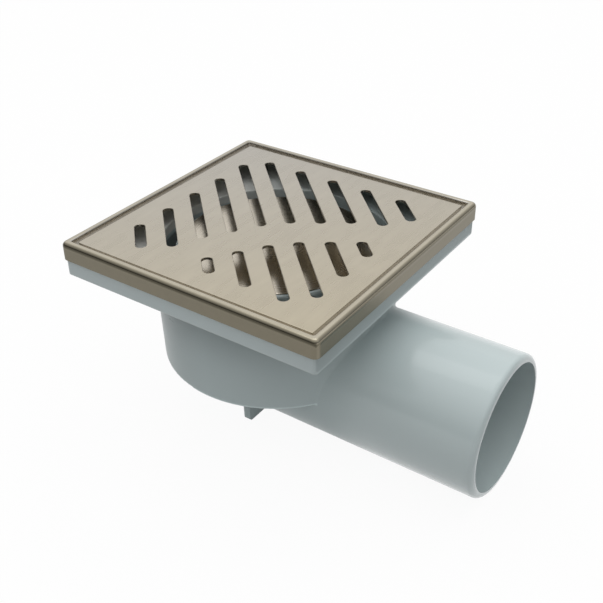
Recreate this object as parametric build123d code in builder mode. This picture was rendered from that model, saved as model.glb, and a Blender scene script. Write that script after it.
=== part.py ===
from build123d import *
import os
from math import sqrt

# Floor gully trap: a slotted steel grate in a steel trim, on a square plastic inlet tray.
# A round bowl under the tray holds the water, and a bell over a standpipe makes the seal.
# Millimetres. The origin is on the floor under the bowl's axis, +Z up, +X towards the outlet.

os.makedirs("parts", exist_ok=True)

# Outlet spigot, and the channel that feeds it under the bowl and tapers a little
pipe_od = 75.0
pipe_wall = 3.8
pipe_reach = 136.0
spigot_length = 68.0
channel_taper = 0.1
mouth_round = 3.0

# Bowl
bowl_r_base = 62.6
bowl_r_top = 64.0
bowl_wall = 2.5
bowl_base_rise = 0.2
bowl_floor = 3.0
bowl_edge_round = 1.0
bowl_inner_round = 3.0
junction_round = 2.0

# Foot that keeps the bowl level on the floor
foot_width = 63.0
foot_draft = 1.5
foot_thickness = 4.0
foot_corner = 2.0

# Inlet tray
tray_side = 151.7
tray_corner = 2.2
tray_wall = 2.5
tray_height = 18.7
tray_depth = 12.0
tray_floor = 2.5
tray_edge_round = 0.6
inlet_edge_round = 0.8
under_rib = 2.0
under_rib_count = 16
seat_post_width = 3.0
seat_post_depth = 4.0
seat_post_spacing = 50.0
seat_posts_per_side = 3

# Standpipe, and the gaps over its rim and under the bell's lip
lip_clearance = 9.6
weir_gap = 10.6
standpipe_od = 55.0
standpipe_wall = 2.5
standpipe_lead_in = 0.6

# Steel trim, folded from one sheet
overall_height = 110.5
trim_sheet = 0.9
trim_gap = 0.1
trim_skirt = 9.6
trim_width = 3.9
trim_round = 2.2
trim_inner_round = 0.7
trim_ledge = 4.5
trim_opening_corner = 0.8
trim_fold_gap = 0.2

# Grate, with its slots placed along the diagonal that they follow
grate_recess = 1.2
grate_thickness = 1.5
grate_gap = 2.4
grate_corner = 1.0
grate_edge_round = 0.3
slot_edge_bevel = 0.2
slot_width = 5.6
slot_pitch = 15.33
rear_slot_field = 112.1
front_slot_field = 110.2
rear_slot_ends = (-1.2, 2.1, 5.25, 10.7, 8.95)
front_slot_starts = (24.05, 26.8, 29.9)

# Bell and its steel cap
bell_od = 105.0
bell_wall = 2.2
bell_crown = 2.5
bell_shoulder = 1.5
bell_rib = 2.2
bell_rib_count = 4
bell_rib_grip = 8.0
bell_rib_relief = 4.0
bell_clearance = 0.3
cap_rim = 1.55
cap_thickness = 0.8
cap_recess = 0.3
cap_gap = 0.15
cap_rise = 0.4
cap_edge_round = 0.2

# Sizes that follow from the ones above
pipe_r = pipe_od / 2
channel_r = pipe_r - channel_taper
bore_r = pipe_r - pipe_wall
bowl_base_z = pipe_r + bowl_base_rise
bowl_floor_top_z = bowl_base_z + bowl_floor
tray_bottom_z = overall_height - tray_height
tray_floor_z = overall_height - tray_depth
tray_under_z = tray_floor_z - tray_floor
tray_inner = tray_side - 2 * tray_wall
bowl_slope = (bowl_r_top - bowl_r_base) / (tray_bottom_z - bowl_base_z)
bowl_r_under = bowl_r_base + bowl_slope * (tray_under_z - bowl_base_z)
inlet_r = bowl_r_base + bowl_slope * (tray_floor_z - bowl_base_z) - bowl_wall
bowl_inner_r_base = bowl_r_base + bowl_slope * bowl_floor - bowl_wall
post_reach = tray_inner / 2 - seat_post_depth / 2

trim_side = tray_side + 2 * (trim_gap + trim_sheet)
trim_corner = tray_corner + trim_gap + trim_sheet
trim_bottom_z = overall_height - trim_skirt
trim_opening = trim_side - 2 * trim_width
trim_channel_outer = trim_side - 2 * trim_sheet
trim_channel_inner = trim_opening + 2 * trim_sheet
trim_channel_z = overall_height - trim_sheet
tray_top_z = trim_channel_z - trim_gap
rebate_side = trim_channel_inner + 2 * trim_fold_gap

grate_side = trim_opening - 2 * grate_gap
grate_top_z = overall_height - grate_recess
grate_seat_z = grate_top_z - grate_thickness
ledge_opening = trim_opening - 2 * trim_ledge
ledge_under_z = grate_seat_z - trim_sheet

standpipe_r = standpipe_od / 2
standpipe_bore_r = standpipe_r - standpipe_wall
bell_r = bell_od / 2
cap_r = bell_r - cap_rim - cap_gap
cap_seat_z = tray_floor_z + cap_rise - cap_thickness
bell_top_z = cap_seat_z + cap_recess
bell_ceiling_z = bell_top_z - bell_crown
bell_lip_z = bowl_floor_top_z + lip_clearance
standpipe_rim_z = bell_ceiling_z - weir_gap
print(f"water seal {standpipe_rim_z - bell_lip_z:.1f} mm")


# Outsides of the bowl and of the spigot with its channel, and the water's way to the spigot's mouth
with BuildPart() as bowl_outside:
    with BuildSketch(Plane.XZ):
        with BuildLine():
            Polyline(
                (0, bowl_base_z),
                (bowl_r_base, bowl_base_z),
                (bowl_r_under, tray_under_z),
                (0, tray_under_z),
                close=True,
            )
        make_face()
    revolve(axis=Axis.Z)

with BuildPart() as spigot_outside:
    with BuildSketch(Plane(origin=(0, 0, pipe_r), x_dir=(1, 0, 0), z_dir=(0, -1, 0))):
        with BuildLine():
            CenterArc((0, 0), channel_r, 90, 90)
            Polyline(
                (0, channel_r),
                (pipe_reach - spigot_length, pipe_r),
                (pipe_reach, pipe_r),
                (pipe_reach, 0),
                (-channel_r, 0),
            )
        make_face()
        fillet(vertices().sort_by(Axis.X)[-2:].sort_by(Axis.Y)[-1], mouth_round)
    revolve(axis=Axis((0, 0, pipe_r), (1, 0, 0)))

with BuildPart() as waterway:
    with Locations((0, 0, pipe_r)):
        Cylinder(bore_r, pipe_reach, rotation=(0, 90, 0), align=(Align.CENTER, Align.CENTER, Align.MIN))
        Sphere(bore_r)
    add(bowl_outside.part, mode=Mode.SUBTRACT)
    with BuildSketch(Plane.XY.offset(pipe_r)):
        Circle(standpipe_bore_r)
    extrude(amount=standpipe_rim_z - pipe_r)


# Body: one moulding
with BuildPart() as body:
    # Bowl, with the spigot and the channel blended into it
    add(bowl_outside.part)
    fillet(body.edges().group_by(Axis.Z)[0], bowl_edge_round)
    add(spigot_outside.part)
    fillet(body.edges().filter_by(GeomType.BSPLINE).sort_by(SortBy.LENGTH)[-2:], junction_round)

    # Foot across the channel
    with BuildSketch(Plane.YZ):
        with BuildLine():
            Polyline(
                (-foot_width / 2 - foot_draft, bowl_base_z),
                (-foot_width / 2, 0),
                (foot_width / 2, 0),
                (foot_width / 2 + foot_draft, bowl_base_z),
                close=True,
            )
        make_face()
        fillet(vertices().group_by(Axis.Y)[0], foot_corner)
    extrude(amount=foot_thickness / 2, both=True)

    # Inlet tray: a square wall round a floor, with ribs under the floor
    with BuildSketch(Plane.XY.offset(tray_bottom_z)):
        RectangleRounded(tray_side, tray_side, tray_corner)
    extrude(amount=tray_top_z - tray_bottom_z)
    fillet(body.edges().group_by(Axis.Z)[-1], trim_round - trim_sheet - trim_gap)
    tray_under = body.faces().filter_by_position(Axis.Z, tray_bottom_z, tray_bottom_z)[0]
    fillet(tray_under.outer_wire().edges(), tray_edge_round)
    with BuildSketch(Plane.XY.offset(tray_floor_z)):
        Rectangle(tray_inner, tray_inner)
    extrude(amount=tray_top_z - tray_floor_z, mode=Mode.SUBTRACT)
    with BuildSketch(Plane.XY.offset(tray_bottom_z)):
        Rectangle(tray_inner, tray_inner)
        with PolarLocations(0, under_rib_count):
            Rectangle(tray_side, under_rib, align=(Align.MIN, Align.CENTER), mode=Mode.SUBTRACT)
        Circle(bowl_r_top, mode=Mode.SUBTRACT)
    extrude(amount=tray_under_z - tray_bottom_z, mode=Mode.SUBTRACT)

    # Rebate for the trim's inner fold, and posts under the trim's ledge
    with BuildSketch(Plane.XY.offset(ledge_under_z)):
        Rectangle(rebate_side, rebate_side)
    extrude(amount=tray_top_z - ledge_under_z, mode=Mode.SUBTRACT)
    with BuildSketch(Plane.XY.offset(tray_floor_z)):
        with PolarLocations(post_reach, 4):
            with GridLocations(0, seat_post_spacing, 1, seat_posts_per_side):
                Rectangle(seat_post_depth, seat_post_width)
    extrude(amount=ledge_under_z - tray_floor_z)

    # Bowl cavity
    with BuildSketch(Plane.XZ):
        with BuildLine():
            Polyline(
                (0, bowl_floor_top_z),
                (bowl_inner_r_base, bowl_floor_top_z),
                (inlet_r, tray_floor_z),
                (0, tray_floor_z),
                close=True,
            )
        make_face()
        fillet(vertices().group_by(Axis.Y)[0].sort_by(Axis.X)[-1], bowl_inner_round)
    revolve(axis=Axis.Z, mode=Mode.SUBTRACT)
    fillet(body.edges(Select.LAST).filter_by(GeomType.CIRCLE).sort_by(Axis.Z)[-1], inlet_edge_round)

    # Standpipe, then the way through it to the outlet
    with BuildSketch(Plane.XY.offset(bowl_floor_top_z)):
        Circle(standpipe_r)
    extrude(amount=standpipe_rim_z - bowl_floor_top_z)
    chamfer(body.edges(Select.LAST).group_by(Axis.Z)[-1], standpipe_lead_in)
    add(waterway.part, mode=Mode.SUBTRACT)

body.part.label = "body"
export_step(body.part, "parts/body.step")


# Steel trim over the tray's top edge: a skirt outside, a rounded top, and inside it the grate's ledge
with BuildPart() as trim_channel:
    with BuildSketch(Plane.XY.offset(trim_bottom_z)):
        RectangleRounded(trim_channel_outer, trim_channel_outer, trim_corner - trim_sheet)
    extrude(amount=trim_channel_z - trim_bottom_z)
    fillet(trim_channel.edges().group_by(Axis.Z)[-1], trim_round - trim_sheet)
    with BuildSketch(Plane.XY.offset(ledge_under_z)):
        RectangleRounded(trim_channel_inner, trim_channel_inner, trim_opening_corner + trim_sheet)
    extrude(amount=trim_channel_z - ledge_under_z, mode=Mode.SUBTRACT)

with BuildPart() as steel_frame:
    with BuildSketch(Plane.XY.offset(trim_bottom_z)):
        RectangleRounded(trim_side, trim_side, trim_corner)
    extrude(amount=trim_skirt)
    fillet(steel_frame.edges().group_by(Axis.Z)[-1], trim_round)
    add(trim_channel.part, mode=Mode.SUBTRACT)
    with BuildSketch(Plane.XY.offset(grate_seat_z)):
        RectangleRounded(trim_opening, trim_opening, trim_opening_corner)
    extrude(amount=overall_height - grate_seat_z, mode=Mode.SUBTRACT)
    with BuildSketch(Plane.XY.offset(ledge_under_z)):
        Rectangle(ledge_opening, ledge_opening)
    extrude(amount=trim_sheet, mode=Mode.SUBTRACT)
    fillet(steel_frame.faces().sort_by(Axis.Z)[-1].inner_wires()[0].edges(), trim_inner_round)

steel_frame.part.label = "steel_frame"
export_step(steel_frame.part, "parts/steel_frame.step")


# Slotted grate: the slots run along one diagonal, in two groups with a plain chevron band between them
with BuildPart() as grate:
    with BuildSketch(Plane.XY.offset(grate_seat_z)):
        RectangleRounded(grate_side, grate_side, grate_corner)
    extrude(amount=grate_thickness)
    with BuildSketch(Plane.XY.offset(grate_seat_z).rotated((0, 0, -45))):
        for number, end in enumerate(rear_slot_ends):
            line = (number + 0.5) * slot_pitch
            start = line - rear_slot_field / sqrt(2)
            with Locations(((start + end) / 2, line), ((start + end) / 2, -line)):
                SlotCenterToCenter(end - start, slot_width)
        for number, start in enumerate(front_slot_starts):
            line = (number + 0.5) * slot_pitch
            end = front_slot_field / sqrt(2) - line
            with Locations(((start + end) / 2, line), ((start + end) / 2, -line)):
                SlotCenterToCenter(end - start, slot_width)
    extrude(amount=grate_thickness, mode=Mode.SUBTRACT)
    fillet(grate.faces().sort_by(Axis.Z)[-1].outer_wire().edges(), grate_edge_round)
    slot_rims = [slot.edges() for slot in grate.faces().sort_by(Axis.Z)[-1].inner_wires()]
    chamfer(slot_rims, slot_edge_bevel)

grate.part.label = "grate"
export_step(grate.part, "parts/grate.step")


# Bell: a cup turned upside down over the standpipe, seated on its rim by ribs
with BuildPart() as bell_seat_rib:
    with BuildSketch(Plane.XZ):
        with BuildLine():
            Polyline(
                (standpipe_bore_r - bell_rib_relief, bell_ceiling_z),
                (standpipe_bore_r - bell_rib_relief, standpipe_rim_z + bell_rib_relief),
                (standpipe_bore_r, standpipe_rim_z),
                (standpipe_r + bell_clearance, standpipe_rim_z),
                (standpipe_r + bell_clearance, standpipe_rim_z - bell_rib_grip),
                (bell_r - bell_wall, standpipe_rim_z - bell_rib_grip),
                (bell_r - bell_wall, bell_ceiling_z),
                close=True,
            )
        make_face()
    extrude(amount=bell_rib / 2, both=True)

with BuildPart() as bell:
    with BuildSketch(Plane.XZ):
        with BuildLine():
            Polyline(
                (0, bell_ceiling_z),
                (bell_r - bell_wall, bell_ceiling_z),
                (bell_r - bell_wall, bell_lip_z),
                (bell_r, bell_lip_z),
                (bell_r, bell_top_z),
                (cap_r + cap_gap, bell_top_z),
                (cap_r + cap_gap, cap_seat_z),
                (0, cap_seat_z),
                close=True,
            )
        make_face()
        fillet(vertices().sort_by(Axis.Y)[-2:].sort_by(Axis.X)[-1], bell_shoulder)
    revolve(axis=Axis.Z)
    with PolarLocations(0, bell_rib_count, start_angle=180 / bell_rib_count):
        add(bell_seat_rib.part)

bell.part.label = "bell"
export_step(bell.part, "parts/bell.step")


# Steel cap let into the bell's crown
with BuildPart() as bell_cap:
    with BuildSketch(Plane.XY.offset(cap_seat_z)):
        Circle(cap_r)
    extrude(amount=cap_thickness)
    fillet(bell_cap.edges().group_by(Axis.Z)[-1], cap_edge_round)

bell_cap.part.label = "bell_cap"
export_step(bell_cap.part, "parts/bell_cap.step")
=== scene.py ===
# %% [markdown]
# # A floor gully trap
# This object is the drain in a tiled wet-room floor: a square inlet with a slotted steel grate in a steel
# trim, a round plastic bowl that holds the water seal, and a pipe end at its side. Its shape comes from
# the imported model, which is loaded first and never moved. What is left to make is how each surface looks,
# the light, the floor that it stands on and the camera.

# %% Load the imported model
import math

import bpy
from mathutils import Matrix, Vector


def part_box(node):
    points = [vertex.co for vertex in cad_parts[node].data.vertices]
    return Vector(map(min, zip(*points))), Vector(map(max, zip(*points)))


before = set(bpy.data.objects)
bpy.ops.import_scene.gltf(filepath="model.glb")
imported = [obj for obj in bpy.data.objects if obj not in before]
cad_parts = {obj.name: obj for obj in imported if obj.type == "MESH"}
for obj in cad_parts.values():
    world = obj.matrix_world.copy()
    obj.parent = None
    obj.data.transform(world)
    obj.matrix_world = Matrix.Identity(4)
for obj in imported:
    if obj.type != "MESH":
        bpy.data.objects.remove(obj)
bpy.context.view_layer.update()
MM = 0.001
print("nodes:", sorted(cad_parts))

# %% [markdown]
# ## Writing shader maths as Python
# A surface pattern is a sum of many small node operations, which is hard to read as a list of links.
# `Signal` wraps one output socket, so that `1 - mask * 0.3` adds the Math nodes that it says. `Finish`
# holds one material and has a single method for every other node: its type, its settings and the values
# of its sockets. Short functions that name a few such nodes follow where they are first needed.

# %% One socket


class Signal:
    """One output socket of a finish, with arithmetic that adds Math nodes."""

    def __init__(self, finish, socket):
        self.finish = finish
        self.socket = socket

    def maths(self, operation, *values):
        return self.finish.add("ShaderNodeMath", {"operation": operation}, dict(enumerate(values)))

    def __add__(self, other):
        return self.maths("ADD", self, other)

    __radd__ = __add__

    def __mul__(self, other):
        return self.maths("MULTIPLY", self, other)

    __rmul__ = __mul__

    def __sub__(self, other):
        return self.maths("SUBTRACT", self, other)

    def __rsub__(self, other):
        return self.maths("SUBTRACT", other, self)

    def __abs__(self):
        return self.maths("ABSOLUTE", self)

    def larger(self, other):
        return self.maths("MAXIMUM", self, other)

    def root(self):
        return self.maths("SQRT", self)


print("a socket with arithmetic:", Signal.__name__)

# %% One material


class Finish:
    """The nodes of one material, or of the world."""

    def __init__(self, owner, output="ShaderNodeOutputMaterial"):
        self.owner = owner
        owner.use_nodes = True
        self.tree = owner.node_tree
        self.tree.nodes.clear()
        self.output = self.tree.nodes.new(output)

    def add(self, kind, settings=None, sockets=None, output=0):
        """Adds a node. Settings are set first, then each socket gets a value or a link."""
        node = self.tree.nodes.new(kind)
        for name, value in (settings or {}).items():
            if name == "stops":
                while len(node.color_ramp.elements) < len(value):
                    node.color_ramp.elements.new(1.0)
                for element, (position, level) in zip(node.color_ramp.elements, value):
                    element.position = position
                    element.color = (level, level, level, 1)
            else:
                setattr(node, name, value)
        for name, value in (sockets or {}).items():
            if isinstance(value, Signal):
                self.tree.links.new(value.socket, node.inputs[name])
            else:
                node.inputs[name].default_value = value
        return Signal(self, node.outputs[output])

    def surface(self, kind, sockets):
        """Adds the shader that the surface shows."""
        self.tree.links.new(self.add(kind, sockets=sockets).socket, self.output.inputs["Surface"])
        return self


def material(name):
    return Finish(bpy.data.materials.new(name))


print("a material and its nodes:", Finish.__name__)

# %% [markdown]
# ## Masks from places
# Several surfaces of this object change from one place to the next. A mask for each could be painted by
# hand on an unwrapped mesh, but every such place is known here in millimetres, so a mask is a ramp on a
# height, on a side or on the distance from the axis. Two more functions darken and mix colours by such
# masks, with nodes made for colours, because a Math node would turn them grey.

# %% Places and ramps


def object_place(finish):
    """The place on the object, in metres, as a vector."""
    return finish.add("ShaderNodeTexCoord", output=3)


def axes(vector):
    """The x, y and z of a vector, as three signals."""
    return [vector.finish.add("ShaderNodeSeparateXYZ", sockets={0: vector}, output=i) for i in range(3)]


def from_axis(x, y):
    """The distance from the upright axis through the bowl."""
    return (x * x + y * y).root()


def ramp(value, low, high, smooth=False):
    """Zero where the value is below low, one above high, and in between it rises evenly or in an S."""
    return value.finish.add(
        "ShaderNodeMapRange",
        {"interpolation_type": "SMOOTHSTEP" if smooth else "LINEAR"},
        {"Value": value, "From Min": low, "From Max": high, "To Min": 0.0, "To Max": 1.0},
    )


print("helpers:", object_place.__name__, axes.__name__, from_axis.__name__, ramp.__name__)

# %% Colours that vary


def tinted(colour, brightness):
    """A colour whose brightness varies over the surface."""
    return brightness.finish.add(
        "ShaderNodeVectorMath", {"operation": "SCALE"}, {0: colour, "Scale": brightness}
    )


def blend(share, one, other):
    """A colour between one and the other, each a signal or a red, green and blue."""
    one, other = (colour if isinstance(colour, Signal) else colour + (1,) for colour in (one, other))
    return share.finish.add("ShaderNodeMix", {"data_type": "RGBA"}, {0: share, 6: one, 7: other}, output=2)


print("helpers:", tinted.__name__, blend.__name__)

# %% [markdown]
# ## Faces of the tray and the bowl
# The body is one moulding, in which the tray, the bowl and the pipe run into each other. Giving them
# materials of their own would mean cutting the mesh apart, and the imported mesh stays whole. So its faces
# are told apart by where they lie: the tray's inner faces from its outer ones by a place within its wall,
# and the bowl's by its radius and its base.

# %% Faces of the tray
TRAY_UNDER = 91.8 * MM
TRAY_FACE = 0.85 * MM
EDGE = 1.0 * MM
tray_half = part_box("body")[1][1]
tray_inside = tray_half - TRAY_FACE


def tray_faces(x, y, z):
    """Masks of the tray's inner faces, and of its outer face above the outlet."""
    in_tray = ramp(z, TRAY_UNDER + EDGE, TRAY_UNDER + 2 * EDGE)
    side = abs(x).larger(abs(y))
    inner = (1 - ramp(side, tray_inside - EDGE / 2, tray_inside)) * in_tray
    return inner, ramp(x, tray_inside, tray_inside + EDGE / 2) * in_tray


print("tray:", round(2 * tray_half / MM, 1), "mm wide, underside at", round(TRAY_UNDER / MM, 1), "mm")

# %% Faces of the bowl
BOWL_BASE = 37.7 * MM
BOWL_BASE_RADIUS = 62.6 * MM
BOWL_RADIUS = 64.0 * MM
BOWL_WALL = 2.5 * MM
DULL_FADE = 26.0 * MM
WALL_BLEND = 1.5 * MM
RIM_RISE = 0.6 * MM
RIM_CORE = 0.3 * MM
RIM_FADE = 1.1 * MM
RIM_START = 0.2 * MM
RIM_END = 0.6 * MM


def bowl_faces(z, radius):
    """Masks of the bowl's inner faces, its dull outside, which fades along the pipe, and its lower edge."""
    inner_radius = BOWL_RADIUS - BOWL_WALL
    outside = ramp(radius, inner_radius - WALL_BLEND, inner_radius)
    inner = (1 - outside) * ramp(z, BOWL_BASE, BOWL_BASE + EDGE)
    near = 1 - ramp(radius, BOWL_RADIUS, BOWL_RADIUS + DULL_FADE, True)
    below = 1 - ramp(z, TRAY_UNDER - EDGE, TRAY_UNDER)
    rim = (1 - ramp(abs(z - (BOWL_BASE + RIM_RISE)), RIM_CORE, RIM_FADE)) * outside
    on_bowl = 1 - ramp(radius, BOWL_BASE_RADIUS + RIM_START, BOWL_BASE_RADIUS + RIM_END)
    return inner, near * below * (1 - inner), rim * on_bowl


print("bowl:", round(2 * BOWL_RADIUS / MM, 1), "mm wide, base at", round(BOWL_BASE / MM, 1), "mm")

# %% [markdown]
# ## Dull, dark and pale plastic
# The bowl is duller than the pipe, with no clear border between them, so its dullness fades along the
# pipe. Its outside is darkened a little by painted shade, more up under the tray and on the side away
# from the outlet, and its lower edge gets a thin painted highlight. The tray's outer face above the outlet
# is dull and darkened by painted shade too, and the inside of tray and bowl is lightened towards the back
# by painted light. Lamps and shadows could give some of this, but they would change every other surface
# as well, so each painted shade is a share of one of the masks.

# %% Where the body is dull, dark or pale
PLASTIC = (0.535, 0.616, 0.62)
# a lighter colour: painted light on the inside of tray and bowl
PAINTED_LIGHT_PLASTIC = (0.82, 0.83, 0.8)
# shares of painted shade on the bowl's outside and the tray's outer face, and of a painted highlight
BOWL_SHADE = 0.06
UNDER_TRAY_SHADE = 0.22
UNDER_TRAY_START = BOWL_BASE + 18.0 * MM
FAR_SIDE_SHADE = 0.3
RIM_PAINTED_HIGHLIGHT = 0.3
OUTLET_SIDE_SHADE = 0.2
PALE_START = 0.3


def body_dull_and_painted_shade(place):
    """Where the body is dull, its painted shade and highlight, and its colour with painted light inside."""
    x, y, z = axes(place)
    tray_inner, outlet_side = tray_faces(x, y, z)
    bowl_inner, wall, rim = bowl_faces(z, from_axis(x, y))
    under_tray = ramp(z, UNDER_TRAY_START, TRAY_UNDER, True)
    far_side = ramp(x, 0.0, -BOWL_RADIUS) * ramp(z, BOWL_BASE - EDGE, BOWL_BASE)
    # painted shade on the bowl, less a painted highlight along its lower edge
    shade = BOWL_SHADE + under_tray * UNDER_TRAY_SHADE + far_side * FAR_SIDE_SHADE - rim * RIM_PAINTED_HIGHLIGHT
    shade = wall * shade + outlet_side * OUTLET_SIDE_SHADE
    # painted light on the inside of tray and bowl, towards the back
    near_corner = ramp(x + y, -PALE_START * tray_inside, tray_inside)
    pale = tray_inner.larger(bowl_inner) * (1 - near_corner)
    return wall.larger(outlet_side), shade, blend(pale, PLASTIC, PAINTED_LIGHT_PLASTIC)


print("the bowl's dullness ends", round((BOWL_RADIUS + DULL_FADE) / MM, 1), "mm from the axis")

# %% [markdown]
# ## The joint round the bell's cap
# The bell is the plastic cup over the standpipe, and a steel cap lies in its top. The thin joint between
# the cap's edge and the bell's shoulder lies in shade and shows as a dark line. It could be cut as a
# groove, but the meshes here are the imported ones and stay as they are, so that shade is painted: a dark
# ring in the bell's shade, round the cap's edge.

# %% Where the bell is dark
# how dark the painted shade of the joint is
JOINT_SHADE = 0.75
JOINT_CORE = 0.2 * MM
JOINT_FADE = 0.6 * MM
JOINT_INSET = 0.1 * MM
joint_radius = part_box("bell_cap")[1][0] - JOINT_INSET


def bell_painted_joint_shade(place):
    """No dull part, a painted shade line where the bell's shoulder meets the cap's edge, and one colour."""
    x, y, _ = axes(place)
    off_joint = ramp(abs(from_axis(x, y) - joint_radius), JOINT_CORE, JOINT_FADE)
    return 0.0, (1 - off_joint) * JOINT_SHADE, PLASTIC


print("joint:", round(joint_radius / MM, 1), "mm from the axis")

# %% [markdown]
# ## Moulded plastic
# The body and the bell are one cool grey-green plastic. A polished mould leaves a thin gloss over a
# cloudier, duller skin, and one roughness can't be both, so the gloss is the shader's coat and fades
# where the body is dull. No moulding is quite flat or even: the skin has a slow ripple, and the colour
# varies a little where the melt flowed. A picture of real plastic would need an unwrapped mesh, but noise
# on Object coordinates has no seams. Two bump nodes draw the ripple and the fine skin, and noise moves
# the colour and the roughness by a few percent.

# %% Noise and bumps


def stretched(vector, scale):
    """The vector scaled along each axis, to draw a pattern out in one direction."""
    return vector.finish.add("ShaderNodeMapping", sockets={"Vector": vector, "Scale": scale})


def noise(vector, scale, detail=3.0):
    """Noise that strays from zero, up and down."""
    sockets = {"Vector": vector, "Scale": scale, "Detail": detail}
    return vector.finish.add("ShaderNodeTexNoise", sockets=sockets) - 0.5


def bump(height, strength, distance, **under):
    """A normal that follows a height, over another normal where one is given."""
    sockets = {"Height": height, "Strength": strength, "Distance": distance}
    return height.finish.add("ShaderNodeBump", sockets=sockets | under)


print("helpers:", stretched.__name__, noise.__name__, bump.__name__)

# %% Grey plastic
GLOSS = 0.78
REFRACTION = 1.5
UNDER_GLOSS = 0.12
UNDER_ROUGHNESS = 0.3
FLOW_SCALE = 14.0
FLOW_DRAW = (0.5, 1.0, 1.0)
FLOW_TONE = 0.06
SMEAR_SCALE = 160.0
SMEAR_DRAW = (0.15, 1.0, 1.0)
SMEAR_TONE = 0.08
RIPPLE_SCALE = 45.0
RIPPLE_DEPTH = 4.0 * MM
SKIN_SCALE = 1400.0
SKIN_DEPTH = 0.3 * MM
SKIN_STRENGTH = 0.03


def grey_plastic(name, dullness_and_painted_shade, coat_roughness):
    finish = material(name)
    place = object_place(finish)
    flow = noise(stretched(place, FLOW_DRAW), FLOW_SCALE)
    smears = noise(stretched(place, SMEAR_DRAW), SMEAR_SCALE)
    ripple = bump(noise(place, RIPPLE_SCALE, detail=1.0), SKIN_STRENGTH, RIPPLE_DEPTH)
    skin = bump(noise(place, SKIN_SCALE, detail=2.0), SKIN_STRENGTH, SKIN_DEPTH, Normal=ripple)
    # shade is painted shade, less a painted highlight; the colour can hold painted light
    dull, shade, colour = dullness_and_painted_shade(place)
    return finish.surface(
        "ShaderNodeBsdfPrincipled",
        {
            "Base Color": tinted(colour, (1 + flow * FLOW_TONE) * (1 - shade)),
            "Roughness": UNDER_ROUGHNESS + flow * FLOW_TONE + smears * SMEAR_TONE,
            "Specular IOR Level": UNDER_GLOSS,
            "IOR": REFRACTION,
            "Coat Weight": (1 - dull) * GLOSS,
            "Coat Roughness": coat_roughness,
            "Coat IOR": REFRACTION,
            "Normal": skin,
        },
    )


print("grey plastic: gloss", GLOSS, "over roughness", UNDER_ROUGHNESS)

# %% [markdown]
# ## Brushed steel
# The grate and the trim are satin stainless sheet with a warm cast. Rolling and brushing leave soft
# streaks along one side of the square, and finer scratches with them. An anisotropic shader would stretch
# the highlights but show no single streak, so the streaks are noise that a Mapping node draws out along
# that side. The broad ones and a few clouds move the colour and the roughness, and the fine ones the
# colour and a slight bump.

# %% Brushed steel
STREAK_SCALE = 240.0
STREAK_DRAW = (1.0, 0.22, 1.0)
STREAK_TONE = 0.18
STREAK_ROUGHNESS = 0.1
CLOUD_SCALE = 60.0
CLOUD_TONE = 0.08
CLOUD_ROUGHNESS = 0.06
SCRATCH_SCALE = 1600.0
SCRATCH_DRAW = (1.0, 0.04, 1.0)
SCRATCH_TONE = 0.05
SCRATCH_STRENGTH = 0.04
SCRATCH_DEPTH = 0.1 * MM


def brushed_steel(name, shaded_colour, roughness):
    finish = material(name)
    place = object_place(finish)
    streaks = noise(stretched(place, STREAK_DRAW), STREAK_SCALE, detail=4.0)
    clouds = noise(place, CLOUD_SCALE, detail=2.0)
    scratches = noise(stretched(place, SCRATCH_DRAW), SCRATCH_SCALE, detail=2.0)
    tone = 1 + streaks * STREAK_TONE + clouds * CLOUD_TONE + scratches * SCRATCH_TONE
    # for the trim the colour holds painted shade, for the grate a painted reflection tint
    colour, dullness = shaded_colour(place)
    return finish.surface(
        "ShaderNodeBsdfPrincipled",
        {
            "Base Color": tinted(colour, tone),
            "Metallic": 1.0,
            "Roughness": roughness + streaks * STREAK_ROUGHNESS + clouds * CLOUD_ROUGHNESS + dullness,
            "Normal": bump(scratches, SCRATCH_STRENGTH, SCRATCH_DEPTH),
        },
    )


print("brushed steel: streaks drawn out", round(1 / STREAK_DRAW[1], 1), "times")

# %% [markdown]
# ## The grate's colour
# The grate lies flat, so it mirrors one part of the room, and that reflection looks warmer towards its near
# corner and greyer at the back. Coloured lamps could give that, but they would tint the plastic too, so the
# reflection's tint is painted: two colours of steel are blended along the diagonal instead.

# %% Grate colour
# painted tints of the room's reflection, near and at the back
NEAR_STEEL = (0.475, 0.425, 0.325)
BACK_STEEL = (0.46, 0.435, 0.39)
grate_low, grate_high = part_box("grate")
grate_span = grate_high[0] - grate_low[0]


def grate_colour(place):
    """The grate's colour with a painted tint of its reflection, and no dullness."""
    x, y, _ = axes(place)
    backwards = ramp(y - x, -grate_span, grate_span)
    return blend(backwards, NEAR_STEEL, BACK_STEEL), 0.0


print("grate:", round(grate_span / MM, 1), "mm wide, top at", round(grate_high[2] / MM, 1), "mm")

# %% [markdown]
# ## The trim
# The trim is folded from the same sheet, but only its top was brushed with the grate, and its skirt is
# duller.
# The darker skirt and the dark bands over the fold are painted shade: a pure mirror would need the real
# room round it to show these bands, so their shade follows the way over the edge, measured from where the
# rounding
# starts: one list of stops for the folds across the brushing, and a brighter one for those along it.

# %% Painted shades over the trim's edge
TRIM_STEEL = (0.475, 0.435, 0.35)
FOLD_SHADE_STEEL = (0.475, 0.425, 0.30)
ROUND = 2.2 * MM
ROUND_BLEND = 0.44 * MM
SHADE_REACH = 6.0 * MM
SKIRT_START = 4.2 * MM
SKIRT_DULLNESS = 0.2
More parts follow.
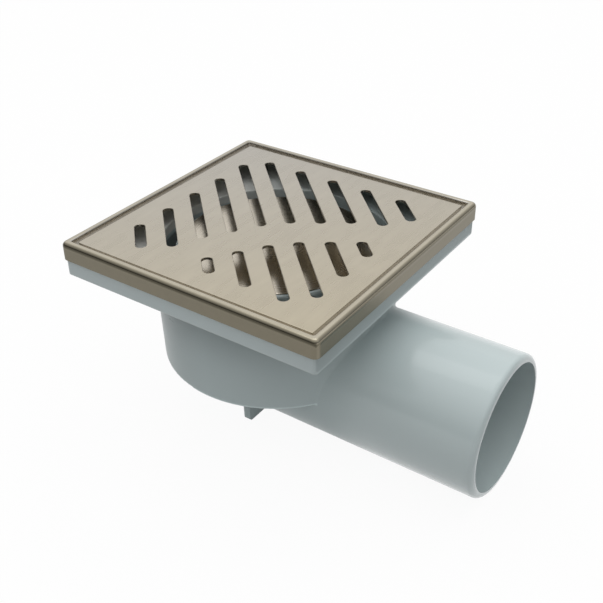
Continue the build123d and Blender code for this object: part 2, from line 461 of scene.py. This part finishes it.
# levels of painted shade over the edge, for folds across and along the brushing
CROSS_FOLD = (
    (0.0, 1.0), (0.07, 0.9), (0.17, 0.62), (0.3, 0.44), (0.38, 0.41), (0.475, 0.23),
    (0.58, 0.175), (0.66, 0.17), (0.75, 0.26), (0.82, 0.36), (0.87, 0.41),
)
LONG_FOLD = (
    (0.0, 1.0), (0.07, 0.9), (0.17, 0.66), (0.3, 0.6), (0.4, 0.68), (0.5, 0.74),
    (0.57, 0.5), (0.64, 0.33), (0.7, 0.33), (0.78, 0.41), (0.87, 0.48),
)
trim_half, _, trim_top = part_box("steel_frame")[1]


def by_stops(value, stops):
    """A level read from a list of stops, each a position and its level."""
    return value.finish.add("ShaderNodeValToRGB", {"stops": stops}, {0: value})


def outer_trim(x, y, z):
    """The colour of the trim's top and outside with painted shade over the edge, and the dullness of its
    skirt.
    """
    side = abs(x).larger(abs(y))
    round_start = trim_half - ROUND
    travel = (side - round_start) + (trim_top - z)
    across = by_stops(travel * (1 / SHADE_REACH), CROSS_FOLD)
    along = by_stops(travel * (1 / SHADE_REACH), LONG_FOLD)
    with_brushing = ramp(abs(x) - abs(y), 0.0, EDGE)
    on_edge = ramp(side, round_start - ROUND_BLEND, round_start)
    # painted shade over the rounded edge and the skirt
    shade = (1 - along * with_brushing - across * (1 - with_brushing)) * on_edge
    colour = tinted(blend(shade, TRIM_STEEL, FOLD_SHADE_STEEL), 1 - shade)
    return colour, ramp(travel, SKIRT_START, SHADE_REACH) * SKIRT_DULLNESS


print("trim:", round(2 * trim_half / MM, 1), "mm wide, top at", round(trim_top / MM, 1), "mm")

# %% [markdown]
# ## The trim's inner side
# Inside the square the trim is bare sheet, and its colour is brightened by painted light down to the ledge
# that carries the grate, with a little painted shade on the ledge. On the two sides at the back its upper
# inner edge is darkened, a painted reflection of the shaded near side of the room. A cut in the mesh could
# hold a second material there, but a mask on place and height leaves the mesh as it is.

# %% Trim colour
# a colour brightened by painted light, and one darkened as a painted reflection
BRIGHTENED_STEEL = (0.72, 0.69, 0.64)
DARK_EDGE_STEEL = (0.34, 0.32, 0.28)
TRIM_WIDTH = 3.9 * MM
BACK_SHIFT = 0.4 * MM
BACK_BLEND = 0.2
LIP_START = 0.1 * MM
LIP_END = 0.5 * MM
DARK_EDGE_START = 0.4 * MM
DARK_EDGE_END = 1.3 * MM
LEDGE_START = 1.7 * MM
LEDGE_END = 2.3 * MM
LEDGE_SHADE = 0.08


def trim_colour(place):
    """The trim's colour with painted light and shade, and its dullness."""
    x, y, z = axes(place)
    outer, dullness = outer_trim(x, y, z)
    depth = trim_top - z
    back = ramp(y - x, -BACK_BLEND * trim_half, BACK_BLEND * trim_half)
    lip = trim_half - TRIM_WIDTH + back * BACK_SHIFT
    inside = 1 - ramp(abs(x).larger(abs(y)) - lip, LIP_START, LIP_END)
    # painted light on the inner side, with a little painted shade at the ledge
    brightened = tinted(BRIGHTENED_STEEL, 1 - ramp(depth, LEDGE_START, LEDGE_END) * LEDGE_SHADE)
    upper = 1 - ramp(depth, DARK_EDGE_START, DARK_EDGE_END)
    # painted reflection of the shaded room on the upper inner edge at the back
    inner = blend(back * upper, brightened, DARK_EDGE_STEEL)
    return blend(inside, outer, inner), dullness


print("trim's inner edge:", round((trim_half - TRIM_WIDTH) / MM, 1), "mm from the middle")

# %% [markdown]
# ## The bell's cap
# The steel disc on the bell was turned, so its scratches run in circles. Straight noise drawn out along a
# side would look wrong here, so the noise is read against the distance from the axis alone.

# %% Turned steel
RING_SCALE = 1600.0
RING_TONE = 0.35
RING_ROUGHNESS = 0.1
RING_STRENGTH = 0.1
RING_DEPTH = 0.2 * MM
CAP_CLOUD_SCALE = 40.0
CAP_CLOUD_TONE = 0.1


def turned_steel(name, colour, roughness):
    finish = material(name)
    place = object_place(finish)
    x, y, _ = axes(place)
    by_radius = {"W": from_axis(x, y), "Scale": RING_SCALE}
    rings = finish.add("ShaderNodeTexNoise", {"noise_dimensions": "1D"}, by_radius) - 0.5
    clouds = noise(place, CAP_CLOUD_SCALE)
    return finish.surface(
        "ShaderNodeBsdfPrincipled",
        {
            "Base Color": tinted(colour, 1 + rings * RING_TONE + clouds * CAP_CLOUD_TONE),
            "Metallic": 1.0,
            "Roughness": roughness + rings * RING_ROUGHNESS,
            "Normal": bump(rings, RING_STRENGTH, RING_DEPTH),
        },
    )


print("turned steel: rings at noise scale", RING_SCALE)

# %% [markdown]
# ## Giving each part its finish
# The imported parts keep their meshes. Each one only gets its material in place of the plain one it came
# with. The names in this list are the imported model's own, so a part that is missing there stops the
# script.

# %% Finishes
CAP_STEEL = (0.6, 0.55, 0.465)
finishes = {
    "body": grey_plastic("moulded grey plastic", body_dull_and_painted_shade, coat_roughness=0.12),
    "bell": grey_plastic("bell plastic", bell_painted_joint_shade, coat_roughness=0.16),
    "steel_frame": brushed_steel("trim steel", trim_colour, roughness=0.2),
    "grate": brushed_steel("grate steel", grate_colour, roughness=0.28),
    "bell_cap": turned_steel("cap steel", CAP_STEEL, roughness=0.25),
}
for node, finish in finishes.items():
    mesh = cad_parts[node].data
    mesh.materials.clear()
    mesh.materials.append(finish.owner)
    print(node, "is", finish.owner.name)

# %% [markdown]
# ## Floor
# The object stands on plain white paper. A plane lit by lamps comes out grey in places, so seen directly
# or in the metal the paper glows white, with a faint shadow of the object. The light that it throws back
# up is a pool of light painted into its colour round the object, as under a lamp: that lights the lower
# edge of the bowl and the pipe, and leaves the bowl dim under the tray. The two are told apart by the kind
# of ray that reaches the paper.

# %% Floor
FLOOR_SIZE = 60.0
bpy.ops.object.select_all(action="DESELECT")
bpy.ops.mesh.primitive_plane_add(size=FLOOR_SIZE)
floor = bpy.context.object
floor.name = "floor"
print("floor:", FLOOR_SIZE, "m")

# %% White paper
SHADOW_SHARE = 0.06
PAPER_WHITE = 0.9
POOL_LIGHT = 0.66
POOL_EDGE = 0.15
POOL_START = 0.08
POOL_END = 0.32
paper = material("floor paper")
seen = paper.add("ShaderNodeLightPath", output="Is Camera Ray")
seen = seen.larger(paper.add("ShaderNodeLightPath", output="Is Glossy Ray"))
seen = seen.larger(paper.add("ShaderNodeLightPath", output="Is Transmission Ray"))
white = paper.add("ShaderNodeEmission", sockets={"Color": (1, 1, 1, 1), "Strength": 1.0})
matt = paper.add("ShaderNodeBsdfDiffuse", sockets={"Color": (PAPER_WHITE, PAPER_WHITE, PAPER_WHITE, 1)})
shown = paper.add("ShaderNodeMixShader", sockets={0: SHADOW_SHARE, 1: white, 2: matt})
paper_x, paper_y, _ = axes(object_place(paper))
# a pool of light painted into the colour that the paper throws back up
lit = 1 - ramp(from_axis(paper_x, paper_y), POOL_START, POOL_END, True)
pool = tinted((1, 1, 1), POOL_EDGE + (POOL_LIGHT - POOL_EDGE) * lit)
bounce = paper.add("ShaderNodeBsdfDiffuse", sockets={"Color": pool})
paper.surface("ShaderNodeMixShader", {0: seen, 1: bounce, 2: shown})
floor.data.materials.append(paper.owner)
print("pool of light:", POOL_END, "m round the object")

# %% [markdown]
# ## Studio light
# The room is a soft tent, white at the horizon. Its far wall stays almost white all the way up, which the
# flat steel mirrors. The near wall and the right wall are dark just above the horizon and bright
# overhead, which draws the trim's rounded edges. Many lamps could give these bands, each with its own
# noise in the render. One sky gives them all: a list of stops for each wall, from the horizon to
# overhead, and soft borders between them.

# %% Walls of light
FAR_WALL = math.radians(125)
RIGHT_WALL = math.radians(55)
FAR_BORDER = (0.3, 0.75)
RIGHT_BORDER = (0.2, 0.8)
DARK_STOPS = ((0.0, 1.0), (0.045, 0.85), (0.08, 0.32), (0.14, 0.22))
TOP_STOPS = ((0.9, 1.35), (1.0, 1.1))
NEAR_STOPS = DARK_STOPS + ((0.3, 0.26), (0.57, 0.72), (0.77, 1.0)) + TOP_STOPS
RIGHT_STOPS = DARK_STOPS + ((0.3, 0.36), (0.57, 0.7), (0.73, 0.85)) + TOP_STOPS
FAR_STOPS = ((0.0, 1.0), (0.05, 0.95), (0.12, 0.7), (0.25, 0.82), (0.45, 1.0), (0.6, 1.05)) + TOP_STOPS
world = bpy.data.worlds.new("studio")
bpy.context.scene.world = world
sky = Finish(world, "ShaderNodeOutputWorld")
east, north, height = axes(sky.add("ShaderNodeTexCoord", output=0))
far = ramp(east * math.cos(FAR_WALL) + north * math.sin(FAR_WALL), *FAR_BORDER, True)
right = ramp(east * math.cos(RIGHT_WALL) + north * math.sin(RIGHT_WALL), *RIGHT_BORDER, True)
near = by_stops(height, NEAR_STOPS) * (1 - right) + by_stops(height, RIGHT_STOPS) * right
light = near * (1 - far) + by_stops(height, FAR_STOPS) * far
sky.surface("ShaderNodeBackground", {"Color": (1, 1, 1, 1), "Strength": light})
bpy.context.scene.view_settings.view_transform = "Standard"
print("walls at", round(math.degrees(FAR_WALL)), "and", round(math.degrees(RIGHT_WALL)), "degrees")

# %% [markdown]
# ## Soft box
# A round pipe shows the shape of whatever lights it. The tent alone leaves its top without an edge, so
# one soft box hangs over it, a little towards the far wall and turned with it, and lays a soft light
# along the pipe.

# %% Soft box
BOX_LENGTH = 0.42
BOX_WIDTH = 0.8
BOX_HEIGHT = 1.1
BOX_SHIFT = 0.19
BOX_POWER = 1.1
bpy.ops.object.light_add(
    type="AREA",
    location=(BOX_SHIFT * math.cos(FAR_WALL), BOX_SHIFT * math.sin(FAR_WALL), BOX_HEIGHT),
    rotation=(0, 0, FAR_WALL),
)
box = bpy.context.object
box.name = "soft box"
box.data.shape = "RECTANGLE"
box.data.size = BOX_LENGTH
box.data.size_y = BOX_WIDTH
box.data.energy = BOX_POWER
print("soft box:", BOX_LENGTH, "x", BOX_WIDTH, "m at", BOX_HEIGHT, "m")

# %% [markdown]
# ## Camera
# The camera stands where the photograph was taken from. Its place, turn and lens were worked out from the
# outline of the trim, the tray, the bowl and the pipe. Aiming it at a point would leave out its slight
# roll, so its three axes are worked out from the azimuth, the elevation and the roll, and set as a
# matrix.

# %% Camera
SENSOR = 36.0
LENS = 54.985
CAMERA_PLACE = Vector((250.55, -334.5, 334.55)) * MM
AZIMUTH = -0.9581
ELEVATION = 0.57965
ROLL = -0.0133

back = Vector((
    math.cos(ELEVATION) * math.cos(AZIMUTH),
    math.cos(ELEVATION) * math.sin(AZIMUTH),
    math.sin(ELEVATION),
))
level = Vector((0, 0, 1)).cross(back).normalized()
upright = back.cross(level)
right_hand = level * math.cos(ROLL) + upright * math.sin(ROLL)
up = upright * math.cos(ROLL) - level * math.sin(ROLL)
bpy.ops.object.camera_add()
camera = bpy.context.object
camera.name = "camera"
camera.data.sensor_width = SENSOR
camera.data.lens = LENS
turn = Matrix((right_hand, up, back)).transposed()
camera.matrix_world = Matrix.Translation(CAMERA_PLACE) @ turn.to_4x4()
bpy.context.scene.camera = camera
print("camera:", round(CAMERA_PLACE.length, 3), "m from the origin")
